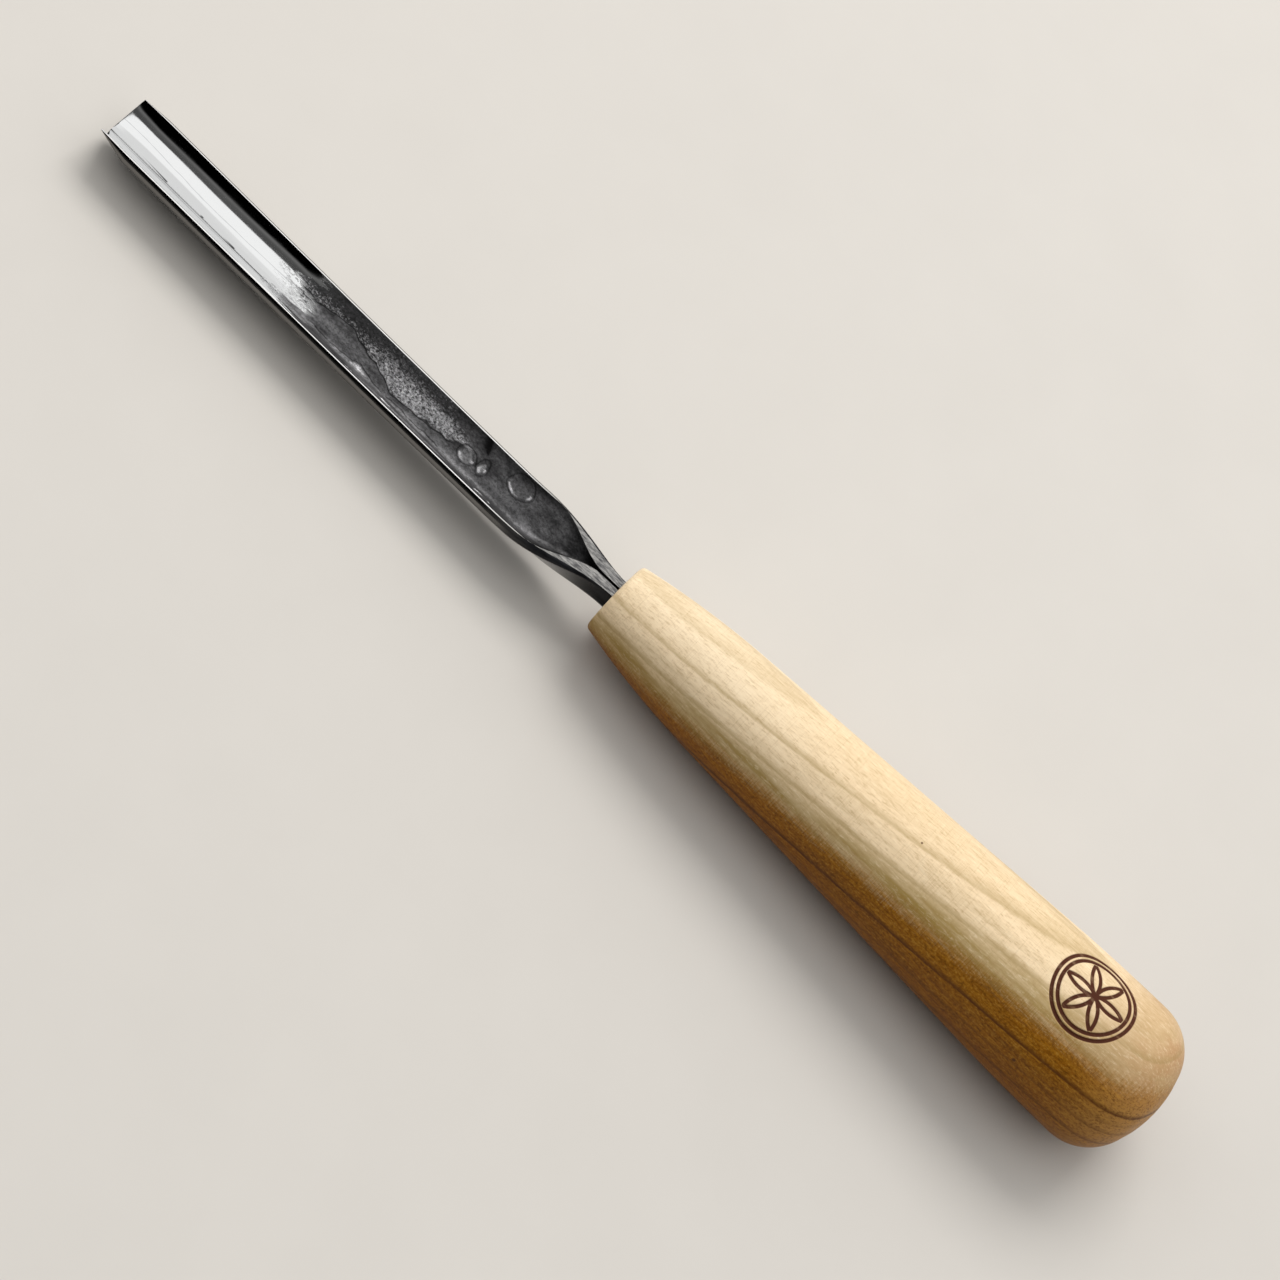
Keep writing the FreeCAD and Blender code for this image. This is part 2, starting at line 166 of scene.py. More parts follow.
def side_angle(upper_y, upper_z, upper_round, lower_z, lower_round):
    """Direction, from each centre, of the line that touches both circles on their +Y side."""
    gap_z = lower_z - upper_z
    length = np.hypot(upper_y, gap_z)
    return np.arctan2(gap_z, -upper_y) + np.arccos((upper_round - lower_round) / length)


def arc_points(centre_y, centre_z, radius, first, last, steps):
    """Points along an arc, for arrays of centres and radii: (stations, steps, 2)."""
    angles = first[:, None] + (last - first)[:, None] * np.linspace(0.0, 1.0, steps)
    y = centre_y[:, None] + radius[:, None] * np.cos(angles)
    z = centre_z[:, None] + radius[:, None] * np.sin(angles)
    return np.stack([y, z], axis=2)


def line_points(first, last, steps):
    """Points strictly between two points, for arrays of points: (stations, steps, 2)."""
    weights = np.linspace(0.0, 1.0, steps + 2)[1:-1]
    return first[:, None, :] + (last - first)[:, None, :] * weights[None, :, None]


def outer_half(x):
    """From the keel up to the arris, on the +Y side."""
    flat = size_at(x, FLAT, WIDTH_CHANGE)
    top = size_at(x, TOP, TOP_CHANGE)
    shoulder = size_at(x, SHOULDER, WIDTH_CHANGE)
    keel_round = size_at(x, KEEL_ROUND, KEEL_CHANGE)
    keel_z = keel_round - size_at(x, KEEL, KEEL_CHANGE)
    zero = np.zeros_like(x)
    corner = math.radians(CORNER_DEG) * ease(x, *CORNER_CHANGE)
    round_y = flat - shoulder * np.sin(corner)
    round_z = top - shoulder * np.cos(corner)
    side = side_angle(round_y, round_z, shoulder, keel_z, keel_round)
    bottom = np.full_like(x, -math.pi / 2)
    crest = math.pi / 2 - corner
    keel = arc_points(zero, keel_z, keel_round, bottom, side, KEEL_STEPS)
    round_top = arc_points(round_y, round_z, shoulder, side, crest, SHOULDER_STEPS)
    sides = line_points(keel[:, -1], round_top[:, 0], SIDE_STEPS)
    arris = np.stack([groove_width(x), top], axis=1)
    land = line_points(round_top[:, -1], arris, FLAT_STEPS)
    return np.concatenate([keel, sides, round_top, land, arris[:, None, :]], axis=1)


def groove_width(x):
    """Half the width of the groove where it meets the top."""
    return np.where(x < 0, SEAM_SHARE * GROOVE["face"], size_at(x, GROOVE, GROOVE_CHANGE))


def inner_half(x):
    """From the groove's root up to just inside the arris, on the +Y side. In the handle it lies flat."""
    top = size_at(x, TOP, TOP_CHANGE)
    width = groove_width(x)
    root = size_at(x, ROOT, GROOVE_CHANGE) * (1.0 - ROOT_GRIND * ease(x, *ROOT_CHANGE))
    depth = size_at(x, FLOOR, FLOOR_CHANGE)
    zero = np.zeros_like(x)
    root_z = root - depth
    side = side_angle(width, top, zero, root_z, root)
    bottom = np.full_like(x, -math.pi / 2)
    bowl = arc_points(zero, root_z, root, bottom, side, ROOT_STEPS)
    arris = np.stack([width, top], axis=1)
    wall = line_points(bowl[:, -1], arris, WALL_STEPS)
    half = np.concatenate([bowl, wall], axis=1)
    half[x < 0, :, 1] = top[x < 0, None]
    half[x < 0, :, 0] = np.linspace(0.0, 0.95, half.shape[1]) * width[x < 0, None]
    return half


def mirrored_loop(outer, inner):
    """One closed ring: the outside from the left arris round to the right one, then the groove back."""
    flip = np.array([-1.0, 1.0])
    left_outer = outer[:, :0:-1] * flip
    right_inner = inner[:, ::-1]
    left_inner = inner[:, 1:] * flip
    return np.concatenate([left_outer, outer, right_inner, left_inner], axis=1)


def blade_stations():
    """Places of the sections along X: close together on the scale and at the cutting edge."""
    tang = np.linspace(-TANG_LENGTH, -1.0, 14)
    forged = np.arange(0.0, SCALE_END, 0.25)
    polished = np.arange(SCALE_END, HEEL, 0.5)
    bevel = np.linspace(HEEL, BLADE_LENGTH - INNER_BEVEL, 18)[:-1]
    tip = np.linspace(BLADE_LENGTH - INNER_BEVEL, BLADE_LENGTH, 10)
    return np.concatenate([tang, [-0.001], forged, polished, bevel, tip])


def forged_relief(points):
    """Depth of the forged surface inside the groove: soft hammering under fine scale."""
    soft = noise_at(points, (0.20, 0.35, 0.35), 3.1)
    fine = noise_at(points, (0.9, 1.2, 1.2), 7.7)
    return 0.040 * soft + 0.014 * fine


# Buffing rounds one polished wall over just under the arris, hollows both near the root, and leaves them wavy
DUBBED_DEPTH = 2.6
DUBBED_HEIGHT = 0.112
HOLLOW_START, HOLLOW_REACH, HOLLOW_SLOPE = 6.4, 1.6, 0.060
POLISH_WAVES = 0.034


def polished_relief(points, down):
    """Depth of the polished surface inside the groove."""
    rounded = np.clip(1.0 - down / DUBBED_DEPTH, 0.0, 1.0) * (points[:, 1] < 0)
    hollow = HOLLOW_SLOPE * np.clip(down - HOLLOW_START, 0.0, HOLLOW_REACH)
    waves = POLISH_WAVES * noise_at(points, (0.060, 0.22, 0.22), 5.3)
    return DUBBED_HEIGHT * (1.0 - rounded**2) + hollow + waves


# Marks in the forging scale: side of the V, distance from the handle, distance down the wall from its top,
# half sizes along and down, height of the rim, and how light the inside is. A negative height is an open pit.
SCALE_MARKS = [
    (-1, 25.0, 2.75, 2.35, 1.95, 0.10, 0.0),
    (-1, 36.0, 5.5, 1.55, 1.25, 0.05, 0.30),
    (-1, 32.4, 5.1, 0.72, 1.15, 0.04, 0.50),
    (1, 29.0, 3.4, 1.90, 1.60, 0.10, 0.1),
    (1, 52.5, 4.2, 1.20, 1.00, 0.08, 0.5),
    (1, 61.0, 2.3, 0.80, 0.80, -0.05, 0.0),
]
RIM_WIDTH = 0.27

# A nick under the arris: its place, its lean along X, how far down it reaches, half its width, and its depth
NICK_X, NICK_LEAN, NICK_REACH, NICK_HALF, NICK_DEPTH = 34.5, -0.42, 3.2, 0.22, 0.10


def bell(value, width):
    """1 where the value is 0, falling smoothly to nothing a few widths away."""
    return np.exp(-((value / width) ** 2))


def scale_marks(x, down, side):
    """(relief, tone) of the marks: tone is 1 on bright rims and -1 in dark outlines."""
    relief = np.zeros_like(x)
    tone = np.zeros_like(x)
    for mark_side, centre_x, centre_down, half_x, half_down, height, fill in SCALE_MARKS:
        across = (x - centre_x) / half_x
        along = (down - centre_down) / half_down
        turn = np.arctan2(along, across)
        ragged = 1.0 + 0.03 * np.sin(3.0 * turn + centre_x) + 0.02 * np.sin(5.0 * turn)
        off_rim = (np.hypot(across, along) / ragged - 1.0) * min(half_x, half_down)
        on_side = side == mark_side
        rim = bell(off_rim, RIM_WIDTH)
        outline = bell(off_rim - 1.5 * RIM_WIDTH, 0.75 * RIM_WIDTH)
        crescents = bell(turn - 0.93, 0.70) + 0.85 * bell(turn - 2.94, 0.38)
        inside = ease(-off_rim, 0.0, 0.4)
        relief += on_side * height * rim * (0.35 + 0.65 * crescents)
        tone += on_side * (rim * (0.06 + 1.2 * crescents) - 0.65 * outline + fill * inside)
    near_crack = (side < 0) * (1.0 - ease(down, 0.6 * NICK_REACH, NICK_REACH))
    crack = x - NICK_X - NICK_LEAN * down
    nick = near_crack * bell(crack, NICK_HALF)
    smudge = near_crack * bell(crack - 0.3, 1.3)
    return relief - NICK_DEPTH * nick, tone - 1.3 * nick - 0.70 * smudge


def speckled_band(x, down, side):
    """Signed distance into the band of lighter, flaking scale, positive inside it. Its lower edge is crisp
    and wavy, and upwards it thins out."""
    wave = 0.35 * ease(x, 48.0, 54.0) * np.cos(0.62 * (x - 52.0)) + 0.10 * np.sin(1.9 * x)
    lower = 6.0 + 0.085 * (x - 38.0) - 4.9 * ease(x, 51.0, 67.0) + wave - 1.2 * (side > 0)
    ends = np.minimum((x - 36.0) * 0.15 - 0.2 * np.abs(down - 4.4), (79.0 - x) * 0.30)
    return np.minimum(lower - down, ends)


# A bright flake low on the far wall: its middle, half its length, and the wall's depth where the root begins
FLAKE_X, FLAKE_HALF, WALL_DEPTH = 60.6, 2.0, 8.5


def low_line(x, down, side):
    """Tone of a thin dark line just above the root, which rises over a bright flake."""
    rise = bell(x - FLAKE_X, FLAKE_HALF)
    crest = 0.35 + 1.0 * rise + 0.12 * np.sin(0.9 * x) + 0.06 * np.sin(2.3 * x)
    inside = crest - (WALL_DEPTH - down)
    here = (side < 0) * ease(x, 36.0, 42.0) * (1.0 - ease(x, 70.0, 76.0))
    return here * (0.75 * rise * ease(inside, 0.10, 0.40) - 0.75 * bell(inside, 0.13))


def blade_grid(x):
    """Points round each section, with the cutting edge leant back and skewed: (stations, count, 3)."""
    ring = mirrored_loop(outer_half(x), inner_half(x))
    stations, count, _ = ring.shape
    bevel = np.clip((x - HEEL) / BEVEL_LENGTH, 0.0, 1.0)
    lean = bevel[:, None] * EDGE_LEAN * (ring[:, :, 1] + KEEL["edge"])
    grid = np.empty((stations, count, 3))
    grid[:, :, 0] = x[:, None] - lean + EDGE_SKEW * bevel[:, None] * ring[:, :, 0]
    grid[:, :, 1:] = ring
    return grid


def wall_position(x, grid):
    """For each grid point, how far it lies down the groove's wall from the arris, and which side it is on."""
    top = size_at(x, TOP, TOP_CHANGE)[:, None]
    width = groove_width(x)[:, None]
    down = np.hypot(width - np.abs(grid[:, :, 1]), top - grid[:, :, 2])
    side = np.where(grid[:, :, 1] < 0, -1.0, 1.0)
    return down, side


def groove_relief(x, grid, down, walls, finished, marks):
    """How far each point of the walls stands in from the plain section: scale behind, polish in front."""
    fade = ease(grid[:, :, 0], 3.0, 16.0) * ease(down, 0.0, 0.5)
    relief = np.zeros(down.shape)
    relief[walls] = mix(
        forged_relief(grid[walls]) * fade[walls] + marks[walls],
        polished_relief(grid[walls], down[walls]),
        finished[walls],
    )
    to_edge = np.clip(1.0 - (BLADE_LENGTH - x[:, None]) / INNER_BEVEL, 0.0, 1.0)
    return relief + walls * EDGE_ROLL * to_edge**2 * ease(down, 0.0, 0.6)


def blade_slots(count):
    """Material slot of each column of faces round the section."""
    land = FLAT_STEPS + 1
    slots = []
    for j in range(count):
        if j >= OUTER_COUNT - 1:
            slots.append(INSIDE)
        elif j < land or j >= OUTER_COUNT - 1 - land:
            slots.append(LAND)
        else:
            slots.append(OUTSIDE)
    return slots


def make_blade(materials):
    """The whole forging. It stores what the groove's material reads: the tone of the marks, the distance into
    the speckled band, and the distance down the wall."""
    x = blade_stations()
    grid = blade_grid(x)
    stations, count, _ = grid.shape
    down, side = wall_position(x, grid)
    walls = (np.arange(count) >= OUTER_COUNT)[None, :] & (grid[:, :, 0] > 0.5)
    finished = ease(grid[:, :, 0], *POLISH_CHANGE)
    marks, tone = scale_marks(grid[:, :, 0], down, side)
    tone += low_line(grid[:, :, 0], down, side)
    relief = groove_relief(x, grid, down, walls, finished, marks)
    towards_axis = np.stack([-side * WALL_NORMAL[0], np.full(side.shape, WALL_NORMAL[1])], axis=2)
    grid[:, :, 1:] += towards_axis * relief[:, :, None]

    piece = grid_mesh("blade_forging", grid, materials, face_slot=blade_slots(count))
    cap_blade(piece.data, stations, count)
    store(piece.data, "tone", tone * walls * (1.0 - finished))
    store(piece.data, "band", speckled_band(grid[:, :, 0], down, side))
    store(piece.data, "down", down)
    return piece


def store(mesh, name, values):
    """Keep one number per vertex; vertices added after the grid get 0."""
    padded = np.zeros(len(mesh.vertices))
    padded[: values.size] = np.asarray(values, float).ravel()
    mesh.attributes.new(name, "FLOAT", "POINT").data.foreach_set("value", padded)


def cap_blade(mesh, stations, count):
    """Close the tang's end with one face and the cutting edge with a strip."""
    bm = bmesh.new()
    bm.from_mesh(mesh)
    bm.verts.ensure_lookup_table()
    first = [bm.verts[j] for j in range(count)]
    bm.faces.new(first)
    last = (stations - 1) * count
    outer = [bm.verts[last + j] for j in range(OUTER_COUNT)]
    inner = [bm.verts[last + j] for j in range(OUTER_COUNT, count)]
    inner = [outer[0]] + inner[::-1] + [outer[-1]]
    for a, b in bridge(len(outer), len(inner)):
        corners = [outer[a[0]], outer[a[1]], inner[b[1]], inner[b[0]]]
        unique = [v for k, v in enumerate(corners) if v not in corners[:k]]
        if len(unique) > 2:
            face = bm.faces.new(unique)
            face.material_index = LAND
    bmesh.ops.recalc_face_normals(bm, faces=bm.faces)
    bm.to_mesh(mesh)
    bm.free()


def bridge(outer, inner):
    """Pairs of index steps that walk two polylines of different counts together."""
    steps = max(outer, inner) - 1
    pairs = []
    for k in range(steps):
        a = (round(k * (outer - 1) / steps), round((k + 1) * (outer - 1) / steps))
        b = (round(k * (inner - 1) / steps), round((k + 1) * (inner - 1) / steps))
        pairs.append((a, b))
    return pairs


# ---------------- handle

HANDLE_LENGTH = -HANDLE_LOW[0]
WIDEST = HANDLE_HIGH[2]
FRONT_RADIUS = 7.3
RIM_RADIUS = 0.9
DOME_RADIUS = 10.0

# Distance behind the front face, and radius there
SWELL_END = (26.0, 10.5)
TAPER_END = (95.0, 14.13)

BORE_RADIUS = 4.0
BORE_DEPTH = 70.0
DRILL_POINT = 2.4


class HandleOutline:
    """Centres, radii and limits of the arcs of the turned outline, as (distance behind the face, radius)."""

    def __init__(self):
        slope = math.atan2(TAPER_END[1] - SWELL_END[1], TAPER_END[0] - SWELL_END[0])
        outward = np.array([-math.sin(slope), math.cos(slope)])
        self.rim = np.array([RIM_RADIUS, FRONT_RADIUS - RIM_RADIUS])
        span = np.array(SWELL_END) - self.rim
        self.swell_round = (span @ span - RIM_RADIUS**2) / (2 * (span @ outward - RIM_RADIUS))
        self.swell = np.array(SWELL_END) - outward * self.swell_round
        self.slope = math.tan(slope)
        self.shoulder_round = (WIDEST - TAPER_END[1]) / (1 - math.cos(slope))
        self.shoulder = np.array(TAPER_END) - outward * self.shoulder_round
        self.dome = np.array([self.shoulder[0], WIDEST - DOME_RADIUS])
        reach = HANDLE_LENGTH - self.dome[0]
        self.crown_round = (reach**2 + self.dome[1] ** 2 - DOME_RADIUS**2) / (2 * (reach - DOME_RADIUS))
        self.crown_centre = HANDLE_LENGTH - self.crown_round
        angle = math.atan2(self.dome[1], self.dome[0] - self.crown_centre)
        self.crown_start = self.crown_centre + self.crown_round * math.cos(angle)
        rim_angle = math.atan2(self.rim[1] - self.swell[1], self.rim[0] - self.swell[0])
        self.rim_end = self.rim[0] + RIM_RADIUS * math.cos(rim_angle)

    def radius(self, d):
        """Radius of the outside at distance d behind the front face."""
        if d < self.rim_end:
            return self.rim[1] + math.sqrt(max(0.0, RIM_RADIUS**2 - (d - self.rim[0]) ** 2))
        if d < SWELL_END[0]:
            return self.swell[1] + math.sqrt(self.swell_round**2 - (d - self.swell[0]) ** 2)
        if d < TAPER_END[0]:
            return SWELL_END[1] + (d - SWELL_END[0]) * self.slope
        if d < self.shoulder[0]:
            return self.shoulder[1] + math.sqrt(self.shoulder_round**2 - (d - self.shoulder[0]) ** 2)
        if d < self.crown_start:
            return self.dome[1] + math.sqrt(max(0.0, DOME_RADIUS**2 - (d - self.dome[0]) ** 2))
        return math.sqrt(max(0.0, self.crown_round**2 - (d - self.crown_centre) ** 2))


# The burned mark: a plain six-petal compass rosette in two rings, on top of the handle near its end. The
# inner ring and the petals are shares of its radius.
MARK_DISTANCE = 106.6
MARK_RADIUS = 7.8
MARK_DEPTH = 0.16
MARK_HALF_SPAN = 8.8
INNER_RING = 0.86
PETAL_RING = 0.80
CENTRE_RING = 0.5
MARK_STEP = 0.13
LINE_WIDTH = 0.42
RADIUS_UNDER_MARK = 14.6
PLAIN_COLUMNS = 110


def rosette(u, v):
    """1 on the burned lines of the rosette and 0 off them. u and v are millimetres from its centre."""
    r = np.hypot(u, v)
    distance = np.minimum(np.abs(r - MARK_RADIUS), np.abs(r - MARK_RADIUS * INNER_RING))
    petal = MARK_RADIUS * PETAL_RING
    inside = r < petal
    for k in range(6):
        angle = k * math.pi / 3
        centre = petal * np.array([math.cos(angle), math.sin(angle)])
        to_arc = np.abs(np.hypot(u - centre[0], v - centre[1]) - petal)
        distance = np.where(inside, np.minimum(distance, to_arc), distance)
    distance = np.minimum(distance, np.abs(r - CENTRE_RING))
    return 1.0 - ease(distance, 0.45 * LINE_WIDTH, 1.1 * LINE_WIDTH)


def handle_distances(outline):
    """Stations along the handle: fine at the rim, at the mark and over the dome."""
    rim = RIM_RADIUS * (1 - np.cos(np.linspace(0.0, math.pi / 2, 8)))
    body = np.arange(1.6, MARK_DISTANCE - MARK_HALF_SPAN, 1.0)
    mark = np.arange(MARK_DISTANCE - MARK_HALF_SPAN, MARK_DISTANCE + MARK_HALF_SPAN, MARK_STEP)
    dome = np.arange(mark[-1] + 0.4, outline.crown_start, 0.4)
    ends = outline.crown_round * (1 - np.cos(np.linspace(0.26, 0.012, 14)))
    crown = HANDLE_LENGTH - ends
    crown = crown[crown > dome[-1] + 0.05]
    return np.concatenate([rim, body, mark, dome, crown])


def handle_angles():
    """Angles from the top (+Z) towards +Y: fine under the mark."""
    reach = MARK_HALF_SPAN / RADIUS_UNDER_MARK
    fine = np.arange(-reach, reach, MARK_STEP / RADIUS_UNDER_MARK)
    coarse = np.linspace(reach, 2 * math.pi - reach, PLAIN_COLUMNS)[:-1]
    return np.concatenate([fine, coarse])


def turned_grid(distance, radius, angle):
    """Rings of points round the axis. radius has a row for each distance, and one column or one per angle."""
    grid = np.empty((len(distance), len(angle), 3))
    grid[:, :, 0] = -distance[:, None]
    grid[:, :, 1] = radius * np.sin(angle)
    grid[:, :, 2] = radius * np.cos(angle)
    return grid


def make_handle(material):
    """The turned wood with its bore, and the burned mark sunk into it and stored for the material."""
    outline = HandleOutline()
    distance = handle_distances(outline)
    angle = handle_angles()
    radius = np.array([outline.radius(d) for d in distance])[:, None]
    from_top = (np.mod(angle + math.pi, 2 * math.pi) - math.pi)[None, :] * radius
    along = np.broadcast_to((distance - MARK_DISTANCE)[:, None], from_top.shape)
    burn = rosette(along, from_top)

    bore_distance = np.array([BORE_DEPTH, BORE_DEPTH / 2, 0.0])
    bore = turned_grid(bore_distance, np.full((len(bore_distance), 1), BORE_RADIUS), angle)
    outside = turned_grid(distance, radius - MARK_DEPTH * burn, angle)
    whole = np.concatenate([bore, outside])
    piece = grid_mesh("handle_turned", whole, [material])
    close_pole(piece.data, 0, len(angle), -(BORE_DEPTH + DRILL_POINT))
    close_pole(piece.data, (len(whole) - 1) * len(angle), len(angle), -HANDLE_LENGTH)
    store(piece.data, "burn", np.concatenate([np.zeros((len(bore_distance), len(angle))), burn]))
    return piece


def close_pole(mesh, first, count, x):
    """Close an end ring with a fan to one point on the axis."""
    bm = bmesh.new()
    bm.from_mesh(mesh)
    bm.verts.ensure_lookup_table()
    ring = [bm.verts[first + j] for j in range(count)]
    pole = bm.verts.new((x * MM, 0.0, 0.0))
    for j in range(count):
        bm.faces.new((ring[j], ring[(j + 1) % count], pole))
    bmesh.ops.recalc_face_normals(bm, faces=bm.faces)
    bm.to_mesh(mesh)
    bm.free()


# ---------------- materials


class Nodes:
    """A short way to build the node tree of a material or of the world."""

    def __init__(self, name="", tree=None):
        if tree is None:
            self.material = bpy.data.materials.new(name)
            self.material.use_nodes = True
            tree = self.material.node_tree
            self.shader = next(n for n in tree.nodes if n.type == "BSDF_PRINCIPLED")
        self.tree = tree

    def add(self, kind, **settings):
        node = self.tree.nodes.new(kind)
        for key, value in settings.items():
            setattr(node, key, value)
        return node

    def put(self, source, socket):
        """Link a socket, or set a plain value."""
        if isinstance(source, (int, float, tuple)):
            socket.default_value = source
        else:
            self.tree.links.new(source, socket)

    def surface(self, name, source):
        """Link or set one input of the material's shader."""
        self.put(source, self.shader.inputs[name])

    def math(self, operation, a, b=0.0, c=0.0):
        node = self.add("ShaderNodeMath", operation=operation)
        for value, socket in zip((a, b, c), node.inputs):
            self.put(value, socket)
        return node.outputs[0]

    def times(self, a, b):
        return self.math("MULTIPLY", a, b)

    def off(self, value, middle):
        """Distance of a value from a middle, on either side."""
        return self.math("ABSOLUTE", self.math("SUBTRACT", value, middle))

    def jitter(self, value, wobble, amount):
        """The value moved up and down by a noise, which is centred on 0.5."""
        return self.math("MULTIPLY_ADD", self.math("SUBTRACT", wobble, 0.5), amount, value)

    def attribute(self, name):
        return self.add("ShaderNodeAttribute", attribute_name=name).outputs["Fac"]

    def position(self):
        """Object coordinates in millimetres: (vector, x, y, z)."""
        coordinates = self.add("ShaderNodeTexCoord").outputs["Object"]
        scale = self.add("ShaderNodeVectorMath", operation="SCALE")
        self.put(coordinates, scale.inputs[0])
        scale.inputs["Scale"].default_value = 1.0 / MM
        split = self.add("ShaderNodeSeparateXYZ")
        self.put(scale.outputs[0], split.inputs[0])
        return scale.outputs[0], split.outputs[0], split.outputs[1], split.outputs[2]

    def noise(self, place, stretch, offset=(0.0, 0.0, 0.0), detail=3.0, roughness=0.55, distortion=0.0):
        """Noise from 0 to 1; stretch is (x, y, z) features per millimetre."""
        mapping = self.add("ShaderNodeMapping")
        self.put(place, mapping.inputs["Vector"])
        mapping.inputs["Scale"].default_value = stretch
        mapping.inputs["Location"].default_value = offset
        node = self.add("ShaderNodeTexNoise")
        self.put(mapping.outputs[0], node.inputs["Vector"])
        node.inputs["Scale"].default_value = 1.0
        node.inputs["Detail"].default_value = detail
        node.inputs["Roughness"].default_value = roughness
        node.inputs["Distortion"].default_value = distortion
        return node.outputs["Fac"]

    def ramp(self, value, low, high, out_low=0.0, out_high=1.0):
        """A smooth step from out_low at low to out_high at high."""
        node = self.add("ShaderNodeMapRange", interpolation_type="SMOOTHSTEP")
        self.put(value, node.inputs["Value"])
        node.inputs["From Min"].default_value = low
        node.inputs["From Max"].default_value = high
        node.inputs["To Min"].default_value = out_low
        self.put(out_high, node.inputs["To Max"])
        return node.outputs["Result"]

    def blend(self, weight, first, last, mode="MIX"):
        node = self.add("ShaderNodeMix", data_type="RGBA", blend_type=mode)
        self.put(weight, node.inputs["Factor"])
        self.put(first, node.inputs[6])
        self.put(last, node.inputs[7])
        return node.outputs[2]

    def bump(self, height, strength, distance):
        node = self.add("ShaderNodeBump")
        self.put(height, node.inputs["Height"])
        node.inputs["Strength"].default_value = strength
        node.inputs["Distance"].default_value = distance * MM
        return node.outputs["Normal"]


def rgb(red, green, blue):
    return (red, green, blue, 1.0)


# Y from the far wall of the groove to the near one, where the scale and its flakes are painted darker, as
# shade
NEAR_WALL = (-0.3, 0.8)

# The polish begins where X, with up to this much of a ragged noise added, passes the two limits of its line
POLISH_RAGGED = 10.0
POLISH_LINE = (78.8, 81.2)

# A faint grey seam in the far wall's polish: its ends along X, and its height at each
SEAM_SPAN = (94.0, 120.0)
SEAM_HEIGHT = (-2.45, -1.45)

# Fine scratches by the root of the polished groove: first and last distance from the handle, Y, slope
SCRATCHES = [(107.2, 114.6, 0.25, 0.06), (98.2, 99.4, 0.15, 0.02), (90.5, 94.0, 0.10, 0.03)]

MIRROR = rgb(0.90, 0.91, 0.92)
MIRROR_SEAM = rgb(0.35, 0.36, 0.38)
MIRROR_SCRATCH = rgb(0.03, 0.03, 0.035)
PAINTED_DARK_REFLECTION = rgb(0.035, 0.035, 0.037)
SCALE_BLUE = 1.04
GROUND, GROUND_BY_NECK = rgb(0.95, 0.95, 0.95), rgb(0.51, 0.505, 0.49)
GROUND_SCALE = rgb(0.09, 0.09, 0.095)
OUTER_BRUSHED = rgb(0.16, 0.155, 0.15)
OUTER_SCALE, OUTER_SCALE_LIGHT = rgb(0.006, 0.006, 0.007), rgb(0.022, 0.023, 0.026)


def polish_mask(n, place, x, down, ragged):
    """1 on the polish and 0 on the scale. The line between them is ragged, with specks of scale before it."""
    tongue = n.math("ADD", n.ramp(down, 1.4, 3.0, 1.8, -3.4), n.ramp(down, 2.6, 6.2, 0.0, 5.3))
    wedge = n.ramp(n.off(down, 8.1), 0.10, 0.55, -5.0, 0.0)
    line = n.math("MULTIPLY_ADD", ragged, POLISH_RAGGED, n.math("ADD", x, n.math("ADD", tongue, wedge)))
    specks = n.noise(place, (0.9, 2.0, 2.0), (6.0, 1.0, 2.0), detail=4.0, roughness=0.65)
    specks = n.times(n.ramp(specks, 0.48, 0.62, 0.0, 0.45), n.ramp(line, 83.0, 88.0, 1.0, 0.0))
    specks = n.times(specks, n.ramp(down, 3.0, 5.0))
    return n.times(n.ramp(line, *POLISH_LINE), n.math("SUBTRACT", 1.0, specks))


def scale_with_painted_shade(n, x, y, down, cloud):
    """Brightness of the scale: painted shadow under the arris, painted light lower down the wall, painted
    shade on the near wall, and darker towards the handle.
    """
    base = n.ramp(cloud, 0.32, 0.70, 0.085, 0.235)
    # painted shadow under the arris, and painted light lower down the wall
    shade = n.times(n.ramp(down, 0.0, 3.2, 0.30, 1.0), n.ramp(down, 3.0, 6.5, 1.0, 1.6))
    shade = n.times(shade, n.ramp(n.math("MULTIPLY_ADD", cloud, 6.0, x), 8.0, 24.0, 0.12, 1.0))
    # painted shade on the near wall
    return n.times(base, n.times(shade, n.ramp(y, *NEAR_WALL, 1.0, 0.30)))


def flaking_band(n, base, x, y, down, cloud, grit):
    """The band of lighter flakes laid over the scale, with a dark line along its edge."""
    band = n.jitter(n.attribute("band"), cloud, 1.6)
    inside = n.times(n.ramp(band, 0.0, 0.35), n.ramp(cloud, 0.30, 0.46, 0.55, 1.0))
    # painted shade: the flakes fade out on the near wall
    inside = n.times(inside, n.ramp(y, *NEAR_WALL, 1.0, 0.25))
    density = n.math("MULTIPLY_ADD", n.ramp(down, 0.8, 4.2), 0.15, n.times(cloud, 0.20))
    density = n.math("ADD", density, n.ramp(x, 56.0, 66.0, 0.0, -0.09))
    lightest = n.ramp(down, 1.0, 4.0, 0.30, 0.80)
    flakes = n.ramp(n.math("ADD", density, grit), 0.60, 0.84, 0.07, lightest)
    base = n.math("MULTIPLY_ADD", inside, n.math("SUBTRACT", flakes, base), base)
    rim = n.ramp(n.off(band, 0.02), 0.05, 0.22, 1.0, 0.0)
    rim = n.times(rim, n.times(n.ramp(down, 2.6, 3.4), n.ramp(x, 37.0, 41.0)))
    return n.times(base, n.math("MULTIPLY_ADD", rim, -0.75, 1.0))


def toned_scale(n, base, grit):
    """The bright rims and dark outlines of the marks, laid over the scale."""
    tone = n.attribute("tone")
    speck = n.ramp(grit, 0.35, 0.60, 0.30, 0.80)
    base = n.math("MULTIPLY_ADD", n.ramp(tone, 0.10, 0.85), speck, base)
    base = n.math("MULTIPLY_ADD", n.ramp(tone, 0.60, 1.00), 0.40, base)
    return n.times(base, n.ramp(tone, -0.8, -0.1, 0.12, 1.0))


